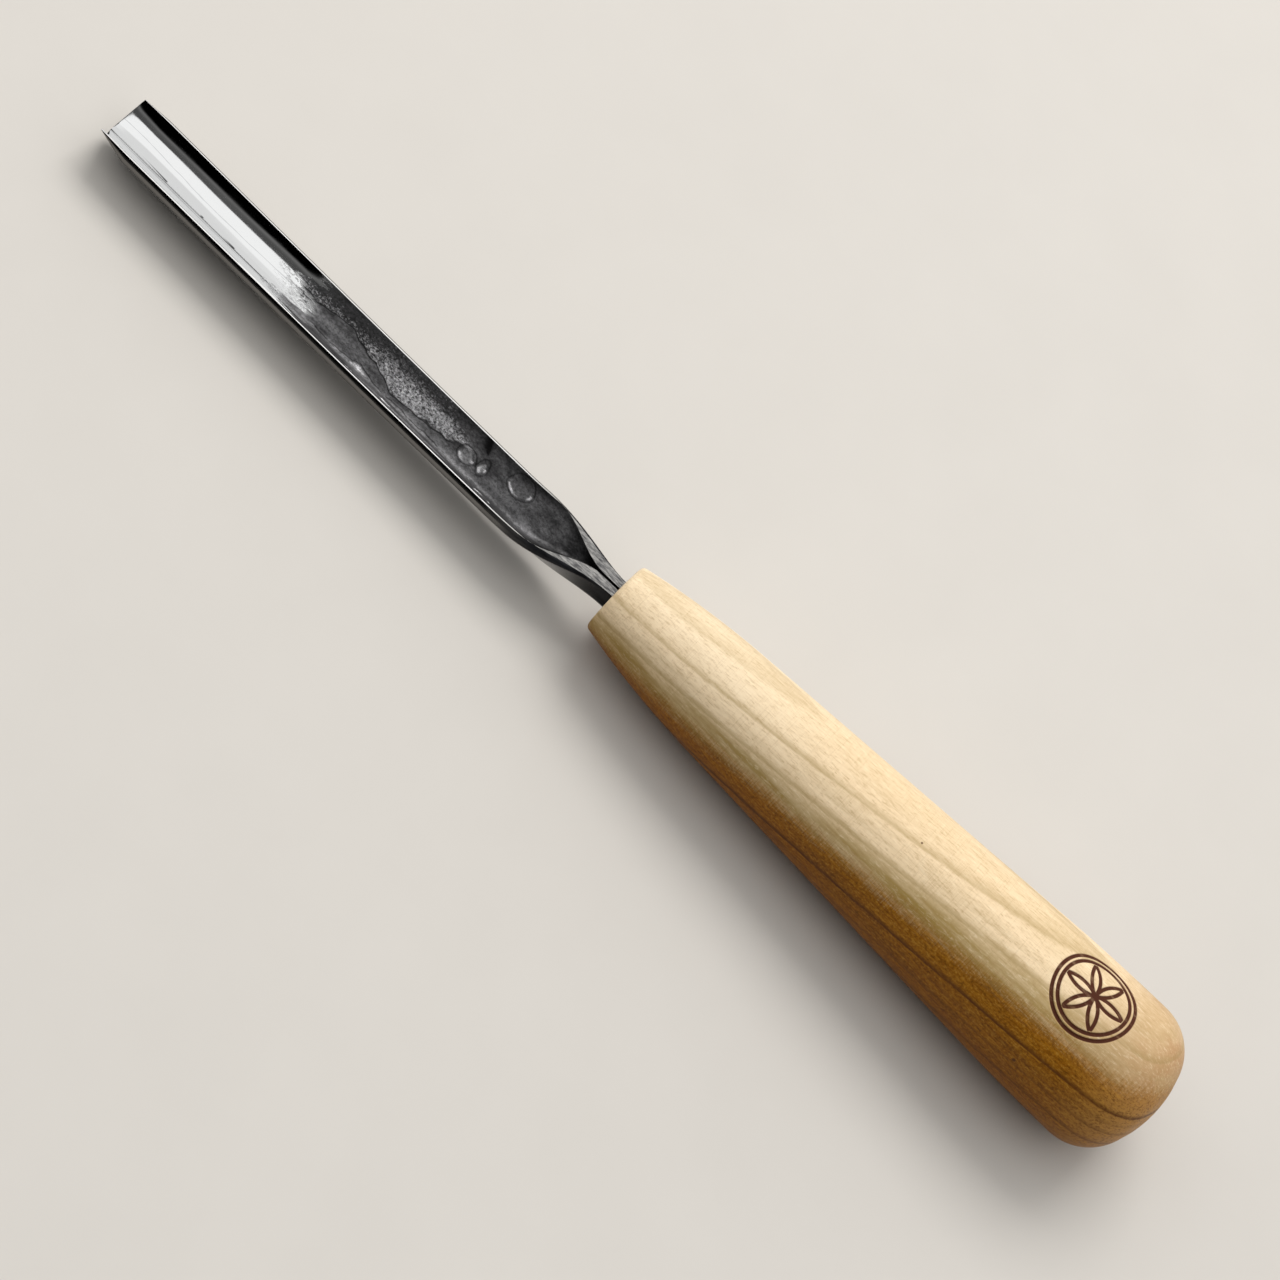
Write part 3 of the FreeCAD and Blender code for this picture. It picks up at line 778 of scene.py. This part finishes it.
def scratches(n, x, y, z):
    """1 on the fine scratches, which fade out towards the cutting edge."""
    total = None
    for first, last, across, slope in SCRATCHES:
        line = n.math("MULTIPLY_ADD", n.math("SUBTRACT", x, first), -slope, n.math("SUBTRACT", y, across))
        line = n.ramp(n.math("ABSOLUTE", line), 0.08, 0.22, 1.0, 0.0)
        taper = n.times(n.ramp(x, first, first + 0.4), n.ramp(x, first + 0.4, last, 1.0, 0.0))
        line = n.times(line, taper)
        total = line if total is None else n.math("MAXIMUM", total, line)
    return n.times(total, n.ramp(z, -3.2, -2.6, 1.0, 0.0))


def mirror_colour(n, x, y, z, ragged):
    """The polish, with a faint seam and a few scratches in it."""
    seam = n.jitter(n.math("SUBTRACT", z, n.ramp(x, *SEAM_SPAN, *SEAM_HEIGHT)), ragged, 0.5)
    seam = n.times(n.ramp(n.math("ABSOLUTE", seam), 0.02, 0.12, 1.0, 0.0), n.ramp(y, -0.5, -0.2, 1.0, 0.0))
    mirror = n.blend(n.times(seam, 0.35), MIRROR, MIRROR_SEAM)
    return n.blend(scratches(n, x, y, z), mirror, MIRROR_SCRATCH)


def groove_steel():
    """Mirror polish at the front of the groove, and behind a ragged line dark forging scale with a band of
    lighter flakes in it. The scale has painted shade, and the partly polished upper wall a painted dark
    reflection."""
    n = Nodes("groove_steel")
    place, x, y, z = n.position()
    down = n.attribute("down")
    ragged = n.noise(place, (0.24, 2.3, 2.3), detail=5.0, roughness=0.62)
    cloud = n.noise(place, (0.18, 0.45, 0.45), detail=5.0, roughness=0.6)
    grit = n.noise(place, (2.0, 2.8, 2.8), detail=4.0, roughness=0.65, distortion=0.7)
    fine = n.noise(place, (1.5, 2.1, 2.1), (4.0, 2.0, 6.0), detail=4.0, roughness=0.75)
    polished = polish_mask(n, place, x, down, ragged)

    base = scale_with_painted_shade(n, x, y, down, cloud)
    base = flaking_band(n, base, x, y, down, cloud, grit)
    base = toned_scale(n, base, grit)
    base = n.times(base, n.ramp(fine, 0.32, 0.68, 0.55, 1.50))
    tint = n.add("ShaderNodeCombineColor")
    n.put(base, tint.inputs[0])
    n.put(base, tint.inputs[1])
    n.put(n.times(base, SCALE_BLUE), tint.inputs[2])

    steel = n.blend(polished, tint.outputs[0], mirror_colour(n, x, y, z, ragged))
    # painted reflection: where the polish is partial, the upper wall is painted nearly black, as the dark
    # near side mirrored there
    dark_reflection = n.times(n.ramp(polished, 0.0, 0.10), n.ramp(polished, 0.80, 1.0, 1.0, 0.0))
    dark_reflection = n.times(dark_reflection, n.ramp(down, 2.2, 3.4, 0.85, 0.0))
    n.surface("Base Color", n.blend(dark_reflection, steel, PAINTED_DARK_REFLECTION))

    near_scale = n.ramp(y, *NEAR_WALL, 0.20, 0.02)
    n.surface("Metallic", n.math("MAXIMUM", polished, near_scale))
    n.surface("Specular IOR Level", n.math("MULTIPLY_ADD", polished, 0.30, near_scale))
    scale_rough = n.ramp(grit, 0.3, 0.8, 0.38, 0.58)
    polish_rough = n.ramp(cloud, 0.3, 0.7, 0.035, 0.075)
    smoother = n.math("SUBTRACT", polish_rough, scale_rough)
    n.surface("Roughness", n.math("MULTIPLY_ADD", polished, smoother, scale_rough))
    pits = n.times(grit, n.math("SUBTRACT", 1.0, polished))
    n.surface("Normal", n.bump(pits, 0.5, 0.12))
    return n.material


def ground_steel():
    """Satin faces left by the grinding wheel, with a little scale left in them near the handle."""
    n = Nodes("ground_steel")
    place, x, _, _ = n.position()
    lines = n.noise(place, (0.5, 7.0, 7.0))
    stain = n.noise(place, (0.45, 2.2, 2.2), detail=6.0, roughness=0.68)
    bare = n.ramp(n.math("MULTIPLY_ADD", n.ramp(x, 14.0, 24.0), 0.40, stain), 0.34, 0.72)
    clean = n.blend(n.ramp(x, 18.0, 30.0), GROUND_BY_NECK, GROUND)
    n.surface("Base Color", n.blend(bare, GROUND_SCALE, clean))
    n.surface("Metallic", 1.0)
    n.surface("Roughness", n.ramp(lines, 0.2, 0.8, 0.24, 0.44))
    height = n.math("ADD", lines, n.times(stain, 0.6))
    n.surface("Normal", n.bump(height, 0.35, 0.06))
    return n.material


def outer_steel():
    """Outside of the blade: brushed and darkened, with scale on the neck and shank."""
    n = Nodes("outer_steel")
    place, x, _, _ = n.position()
    brushed = n.noise(place, (0.3, 6.0, 6.0))
    patches = n.noise(place, (0.2, 0.6, 0.6), detail=5.0)
    bare = n.ramp(n.math("MULTIPLY_ADD", patches, 8.0, x), 20.0, 32.0)
    scale = n.blend(n.ramp(patches, 0.3, 0.7), OUTER_SCALE, OUTER_SCALE_LIGHT)
    n.surface("Base Color", n.blend(bare, scale, OUTER_BRUSHED))
    n.surface("Metallic", n.math("MULTIPLY_ADD", bare, 0.95, 0.05))
    n.surface("Specular IOR Level", n.math("MULTIPLY_ADD", bare, 0.44, 0.06))
    n.surface("Roughness", n.ramp(brushed, 0.2, 0.8, 0.10, 0.24))
    n.surface("Normal", n.bump(brushed, 0.08, 0.03))
    return n.material


# Growth layers of the wood: their normal in YZ, how fast they climb along X, and where the heart begins
LAYER_Y, LAYER_Z, LAYER_CLIMB = 0.476, -0.880, -0.106
LAYER_ORIGIN = 95.0
HEART_EDGE = -4.25

# The late-wood lines: place across the layers, half width, and strength
LATE_LINES = [
    (0.6, 0.26, 0.95), (5.2, 0.22, 0.45), (8.8, 0.25, 0.60), (13.6, 0.25, 0.50), (-9.2, 0.24, 0.50),
    (-13.5, 0.24, 0.50), (-17.4, 0.35, 0.35), (-6.9, 0.20, 0.15), (-11.2, 0.25, 0.15), (2.9, 0.2, 0.25),
]

# Small knots on the handle: place and radius
PIN_KNOTS = [(-67.5, 0.7, 12.64, 0.22), (-104.3, 13.9, 4.0, 0.40), (-31.0, -8.2, -7.1, 0.35)]
KNOT = rgb(0.09, 0.035, 0.012)

# The direction in which the wood gets darker and warmer with painted shade, and gets less painted light:
# down, and towards the near side
UNDER_Y, UNDER_Z = 0.5, -0.87

CREAM, CREAM_STREAK = rgb(0.87, 0.69, 0.46), rgb(0.77, 0.605, 0.39)
CREAM_FAR = rgb(0.70, 0.53, 0.32)
PAINTED_LIGHT_CREAM = rgb(0.95, 0.82, 0.62)
GREENISH_AND_SHADE = rgb(0.38, 0.258, 0.075)
AMBER_DARK, AMBER = rgb(0.25, 0.085, 0.003), rgb(0.44, 0.185, 0.010)
AMBER_STREAK = rgb(0.20, 0.072, 0.008)
CREAM_FIBRE, CREAM_FIBRE_PALE = rgb(0.40, 0.26, 0.11), rgb(0.97, 0.84, 0.62)
CREAM_LATE = rgb(0.36, 0.25, 0.095)
AMBER_FIBRE, AMBER_FIBRE_PALE = rgb(0.095, 0.032, 0.002), rgb(0.52, 0.27, 0.045)
AMBER_LATE = rgb(0.10, 0.032, 0.006)
SHADED_CREAM_DOME, LIT_AMBER_DOME = rgb(0.54, 0.375, 0.20), rgb(0.48, 0.25, 0.070)
END_GRAIN = rgb(0.42, 0.19, 0.07)
WARM_SHADE = rgb(0.80, 0.70, 0.49)
SCORCHED, BURNED = rgb(0.20, 0.085, 0.03), rgb(0.070, 0.020, 0.009)


def growth_layer(n, place, x, y, z, fuzz):
    """Millimetres across the growth layers, which wander a little."""
    wander = n.noise(place, (0.018, 0.07, 0.07), detail=2.0)
    layer = n.math("MULTIPLY_ADD", y, LAYER_Y, n.times(z, LAYER_Z))
    layer = n.math("MULTIPLY_ADD", n.math("ADD", x, LAYER_ORIGIN), LAYER_CLIMB, layer)
    return n.jitter(n.jitter(layer, wander, 1.2), fuzz, 0.35)


def sapwood_colour(n, x, layer, streak, under):
    """Cream wood, with painted light on its top towards the blade, and greener next to the heart, where
    painted shade darkens it too.
    """
    cream = n.blend(n.ramp(streak, 0.36, 0.64), CREAM, CREAM_STREAK)
    cream = n.blend(n.ramp(layer, -18.0, -11.0, 0.65, 0.0), cream, CREAM_FAR)
    # painted light: lighter towards the blade, most on the top and least underneath
    painted_light = n.times(n.ramp(x, -58.0, -18.0, 0.0, 0.50), n.ramp(under, -8.5, -3.0, 1.0, 0.35))
    cream = n.blend(painted_light, cream, PAINTED_LIGHT_CREAM)
    # greener wood next to the heart, made darker as painted shade on the low near side
    green = n.times(n.ramp(layer, -11.2, -6.8), n.ramp(streak, 0.30, 0.62, 0.55, 1.0))
    return n.blend(green, cream, GREENISH_AND_SHADE)


def heartwood_colour(n, grain, streak):
    amber = n.blend(n.ramp(grain, 0.30, 0.70), AMBER_DARK, AMBER)
    return n.blend(n.ramp(streak, 0.42, 0.70, 0.0, 0.6), amber, AMBER_STREAK)


def late_wood(n, layer, grain):
    """Strength of the late-wood lines: gradual on their early side and sharp on the other."""
    late = None
    for middle, half_width, strength in LATE_LINES:
        across = n.math("SUBTRACT", layer, middle)
        early_side = n.ramp(across, -4.0 * half_width, 0.0)
        late_side = n.ramp(across, 0.0, 1.3 * half_width, 1.0, 0.0)
        line = n.times(n.times(early_side, late_side), strength)
        late = line if late is None else n.math("MAXIMUM", late, line)
    return n.times(late, n.ramp(grain, 0.25, 0.60, 0.55, 1.0))


def domed_end(n, wood, place, x, y, heart, under):
    """The round end, with painted shade on its top, painted light on its amber heart, and redder patches
    where it cuts across the grain.
    """
    sapwood = n.math("SUBTRACT", 1.0, heart)
    # painted shade: the top of the dome darker
    shaded = n.times(n.ramp(x, -118.0, -101.0, 0.85, 0.0), n.ramp(under, -9.0, -4.0, 1.0, 0.30))
    wood = n.blend(n.times(sapwood, shaded), wood, SHADED_CREAM_DOME)
    # painted light: the amber heart on the dome lighter
    wood = n.blend(n.times(heart, n.ramp(x, -127.0, -110.0, 0.85, 0.0)), wood, LIT_AMBER_DOME)
    cloud = n.noise(place, (0.12, 0.12, 0.12), (3.0, 1.0, 7.0), detail=4.0)
    end = n.ramp(n.math("MULTIPLY_ADD", y, 0.35, x), -128.0, -112.0, 1.0, 0.0)
    blush = n.times(end, n.ramp(cloud, 0.42, 0.64, 0.10, 0.65))
    return n.blend(n.times(blush, n.math("MULTIPLY_ADD", sapwood, 0.75, 0.25)), wood, END_GRAIN)


def fibres(n, wood, place, heart, dark_fibre, pale_fibre):
    """Short dark and pale fibres everywhere, and a finer speckle in the heart."""
    fibre = n.noise(place, (0.55, 2.6, 2.6), (5.0, 1.0, 8.0), detail=4.0, roughness=0.72, distortion=0.4)
    wood = n.blend(n.ramp(fibre, 0.50, 0.68, 0.0, 0.38), wood, dark_fibre)
    wood = n.blend(n.ramp(fibre, 0.32, 0.48, 0.30, 0.0), wood, pale_fibre)
    speckle = n.noise(place, (1.5, 2.4, 2.4), (2.0, 7.0, 3.0), roughness=0.7)
    wood = n.blend(n.times(heart, n.ramp(speckle, 0.50, 0.66, 0.0, 0.55)), wood, dark_fibre)
    wood = n.blend(n.times(heart, n.ramp(speckle, 0.34, 0.48, 0.50, 0.0)), wood, pale_fibre)
    fleck = n.noise(place, (0.45, 2.4, 2.4), (9.0, 4.0, 2.0), roughness=0.6)
    wood = n.blend(n.ramp(fleck, 0.62, 0.76, 0.0, 0.50), wood, dark_fibre)
    return n.blend(n.ramp(fleck, 0.26, 0.40, 0.16, 0.0), wood, pale_fibre)


def burned_mark(n, wood, fuzz):
    """The rosette: scorched at its edges and patchy dark brown in its lines."""
    burn = n.attribute("burn")
    wood = n.blend(n.ramp(burn, 0.02, 0.5, 0.0, 0.5), wood, SCORCHED)
    patchy = n.times(n.ramp(burn, 0.15, 0.75), n.ramp(fuzz, 0.25, 0.50, 0.72, 1.0))
    return n.blend(patchy, wood, BURNED)


def pin_knots(n, wood, place):
    for x, y, z, radius in PIN_KNOTS:
        gap = n.add("ShaderNodeVectorMath", operation="DISTANCE")
        n.put(place, gap.inputs[0])
        gap.inputs[1].default_value = (x, y, z)
        knot = n.ramp(gap.outputs["Value"], 0.5 * radius, 1.3 * radius, 0.9, 0.0)
        wood = n.blend(knot, wood, KNOT)
    return wood


def handle_wood():
    """Pale hardwood with an amber heart on one side, fine grain, lathe marks and the burned mark, with
    painted light on top and painted shade underneath.
    """
    n = Nodes("handle_wood")
    place, x, y, z = n.position()
    fuzz = n.noise(place, (0.35, 0.9, 0.9), detail=4.0, roughness=0.6)
    grain = n.noise(place, (0.10, 2.2, 2.2), detail=5.0, roughness=0.62)
    streak = n.noise(place, (0.030, 0.45, 0.45), detail=4.0)
    turning = n.noise(place, (5.0, 0.10, 0.10), detail=2.0)
    pores = n.noise(place, (0.35, 9.0, 9.0), detail=2.0)
    layer = growth_layer(n, place, x, y, z, fuzz)
    under = n.math("MULTIPLY_ADD", y, UNDER_Y, n.times(z, UNDER_Z))

    heart = n.jitter(n.jitter(layer, turning, 3.4), grain, 3.4)
    heart = n.ramp(heart, HEART_EDGE - 3.0, HEART_EDGE + 1.7)
    wood = n.blend(heart, sapwood_colour(n, x, layer, streak, under), heartwood_colour(n, grain, streak))
    dark_fibre = n.blend(heart, CREAM_FIBRE, AMBER_FIBRE)
    pale_fibre = n.blend(heart, CREAM_FIBRE_PALE, AMBER_FIBRE_PALE)
    wood = n.blend(n.ramp(grain, 0.50, 0.80, 0.0, 0.30), wood, dark_fibre)
    wood = n.blend(n.ramp(pores, 0.60, 0.80, 0.0, 0.45), wood, dark_fibre)
    wood = n.blend(n.ramp(turning, 0.52, 0.75, 0.0, 0.20), wood, dark_fibre)
    wood = domed_end(n, wood, place, x, y, heart, under)
    wood = fibres(n, wood, place, heart, dark_fibre, pale_fibre)
    late_colour = n.blend(n.ramp(layer, HEART_EDGE - 0.5, HEART_EDGE + 0.5), CREAM_LATE, AMBER_LATE)
    wood = n.blend(late_wood(n, layer, grain), wood, late_colour)
    # painted shade: darker and warmer on the underside and the near side, and more so towards the blade
    warm_shade = n.ramp(n.math("ADD", under, n.ramp(x, -85.0, -15.0, 0.0, 2.4)), -0.5, 10.0, 0.0, 0.95)
    wood = n.blend(warm_shade, wood, WARM_SHADE, "MULTIPLY")
    wood = burned_mark(n, wood, fuzz)
    n.surface("Base Color", pin_knots(n, wood, place))

    n.surface("Roughness", n.ramp(grain, 0.2, 0.8, 0.38, 0.52))
    height = n.math("ADD", pores, n.times(turning, 0.7))
    height = n.math("ADD", height, n.times(grain, 0.8))
    n.surface("Normal", n.bump(height, 0.30, 0.05))
    n.surface("Specular IOR Level", 0.12)
    return n.material


def amber_resin():
    n = Nodes("amber_resin")
    place, *_ = n.position()
    cloud = n.noise(place, (0.5, 0.8, 0.8))
    colour = n.blend(n.ramp(cloud, 0.3, 0.7), rgb(0.20, 0.11, 0.035), rgb(0.34, 0.20, 0.07))
    n.surface("Base Color", colour)
    n.surface("Roughness", n.ramp(cloud, 0.3, 0.7, 0.18, 0.3))
    return n.material


def floor_paper():
    n = Nodes("floor_paper")
    place, *_ = n.position()
    mottle = n.noise(place, (0.05, 0.05, 0.05), detail=4.0)
    n.surface("Base Color", n.blend(mottle, rgb(0.60, 0.58, 0.55), rgb(0.63, 0.61, 0.58)))
    n.surface("Roughness", 0.85)
    return n.material


# ---------------- floor, light and camera

# Half the floor's width, in metres
FLOOR_HALF = 12.0

# The floor's slope is searched for up to this one, by halving the range this often
STEEPEST = 0.2
HALVINGS = 40

# How bright the camera sees the empty room
BACKDROP = 0.60

CAMERA_TILT_DEG = 31.0
CAMERA_YAW_DEG = 2.0
CAMERA_ROLL_DEG = 43.85
CAMERA_DISTANCE = 700.0
SENSOR_WIDTH = 36.0
FIELD_WIDTH = 222.36
AIM = (-8.44, 2.1, -1.2)


def resting_slope(blade, handle):
    """(slope along X, height at x = 0 in metres) of the plane that the lowest points of both pieces touch."""
    clouds = []
    for piece in (blade, handle):
        points = np.empty(len(piece.data.vertices) * 3)
        piece.data.vertices.foreach_get("co", points)
        clouds.append(points.reshape(-1, 3)[:, [0, 2]])
    low, high = 0.0, STEEPEST
    for _ in range(HALVINGS):
        slope = (low + high) / 2
        blade_touch, handle_touch = [float((c[:, 1] - slope * c[:, 0]).min()) for c in clouds]
        if blade_touch > handle_touch:
            low = slope
        else:
            high = slope
    return slope, min(blade_touch, handle_touch)


def make_floor(slope, height):
    half = FLOOR_HALF
    corners = [(-half, -half), (half, -half), (half, half), (-half, half)]
    verts = [(x, y, height + slope * x) for x, y in corners]
    mesh = bpy.data.meshes.new("floor")
    mesh.from_pydata(verts, [], [(0, 1, 2, 3)])
    floor = bpy.data.objects.new("floor", mesh)
    bpy.context.scene.collection.objects.link(floor)
    mesh.materials.append(floor_paper())


def make_softbox(name, place, size, watts, colour):
    """An area light aimed at the origin, which the polish doesn't reflect. Place and size are in metres."""
    light = bpy.data.lights.new(name, "AREA")
    light.shape = "RECTANGLE"
    light.size, light.size_y = size
    light.energy = watts
    light.color = colour
    lamp = bpy.data.objects.new(name, light)
    lamp.location = place
    lamp.rotation_euler = (-Vector(place)).to_track_quat("-Z", "Y").to_euler()
    lamp.visible_glossy = False
    bpy.context.scene.collection.objects.link(lamp)


def make_world():
    """A soft room: a bright ceiling that ends towards the near side (+Y), a dim glow low down, and dimmer
    light from both ends of the tool. The camera itself sees a plain pale backdrop."""
    world = bpy.data.worlds.new("studio")
    world.use_nodes = True
    bpy.context.scene.world = world
    n = Nodes(tree=world.node_tree)
    background = next(node for node in n.tree.nodes if node.type == "BACKGROUND")
    direction = n.add("ShaderNodeTexCoord").outputs["Generated"]
    split = n.add("ShaderNodeSeparateXYZ")
    n.put(direction, split.inputs[0])
    x, y, z = split.outputs
    height = n.ramp(z, 0.0, 0.5, 0.3, 1.0)
    ceiling = n.times(n.ramp(y, 0.09, 0.18, 1.06, 0.82), n.ramp(y, 0.47, 0.58, 1.0, 0.0))
    ceiling = n.times(ceiling, height)
    glow = n.times(n.ramp(z, 0.29, 0.34, 0.065, 0.15), n.ramp(z, 0.33, 0.36, 1.0, 0.0))
    ends = n.times(n.ramp(n.math("ABSOLUTE", x), 0.60, 0.85, 0.0, 0.45), height)
    light = n.math("MAXIMUM", ceiling, n.math("MAXIMUM", glow, ends))
    seen = n.add("ShaderNodeLightPath").outputs["Is Camera Ray"]
    strength = n.math("MULTIPLY_ADD", seen, n.math("SUBTRACT", BACKDROP, light), light)
    n.put(strength, background.inputs["Strength"])
    background.inputs["Color"].default_value = rgb(1.0, 0.985, 0.96)


def make_camera():
    """Looks down on the groove from the near side (+Y), with the tool running corner to corner."""
    tilt, yaw, roll = [math.radians(a) for a in (CAMERA_TILT_DEG, CAMERA_YAW_DEG, CAMERA_ROLL_DEG)]
    back = Vector((-math.sin(yaw), math.sin(tilt) * math.cos(yaw), math.cos(tilt) * math.cos(yaw)))
    pommelward = (Vector((-1, 0, 0)) - back * Vector((-1, 0, 0)).dot(back)).normalized()
    nearward = pommelward.cross(back)
    if nearward.y < 0:
        nearward = -nearward
    right = pommelward * math.cos(roll) - nearward * math.sin(roll)
    up = -pommelward * math.sin(roll) - nearward * math.cos(roll)
    camera_data = bpy.data.cameras.new("camera")
    camera_data.sensor_width = SENSOR_WIDTH
    camera_data.lens = SENSOR_WIDTH * CAMERA_DISTANCE / FIELD_WIDTH
    camera = bpy.data.objects.new("camera", camera_data)
    turn = Matrix((right, up, back)).transposed().to_4x4()
    camera.matrix_world = Matrix.Translation((Vector(AIM) + back * CAMERA_DISTANCE) * MM) @ turn
    camera_data.clip_start = 0.01
    bpy.context.scene.collection.objects.link(camera)
    bpy.context.scene.camera = camera


# ---------------- build

blade = make_blade([outer_steel(), ground_steel(), groove_steel()])
handle = make_handle(handle_wood())

# Each piece, the node it replaces, its slot, and the angle in degrees above which its edges are sharp
PIECES = [
    (blade, "blade", "tool_steel", 28.0),
    (handle, "handle", "handle_wood", 50.0),
]
for piece, node, slot, crease in PIECES:
    piece.data.shade_smooth()
    piece.data.set_sharp_from_angle(angle=math.radians(crease))
    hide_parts(node)
    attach(piece, "root")

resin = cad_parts["tang_epoxy"]
resin_material = amber_resin()
for material_slot in resin.material_slots:
    material_slot.material = resin_material

make_floor(*resting_slope(blade, handle))
make_softbox("key", (0.10, -0.72, 1.04), (0.9, 0.6), 9.5, (1.0, 0.97, 0.93))
bpy.context.scene.view_settings.view_transform = "Standard"
make_world()
make_camera()
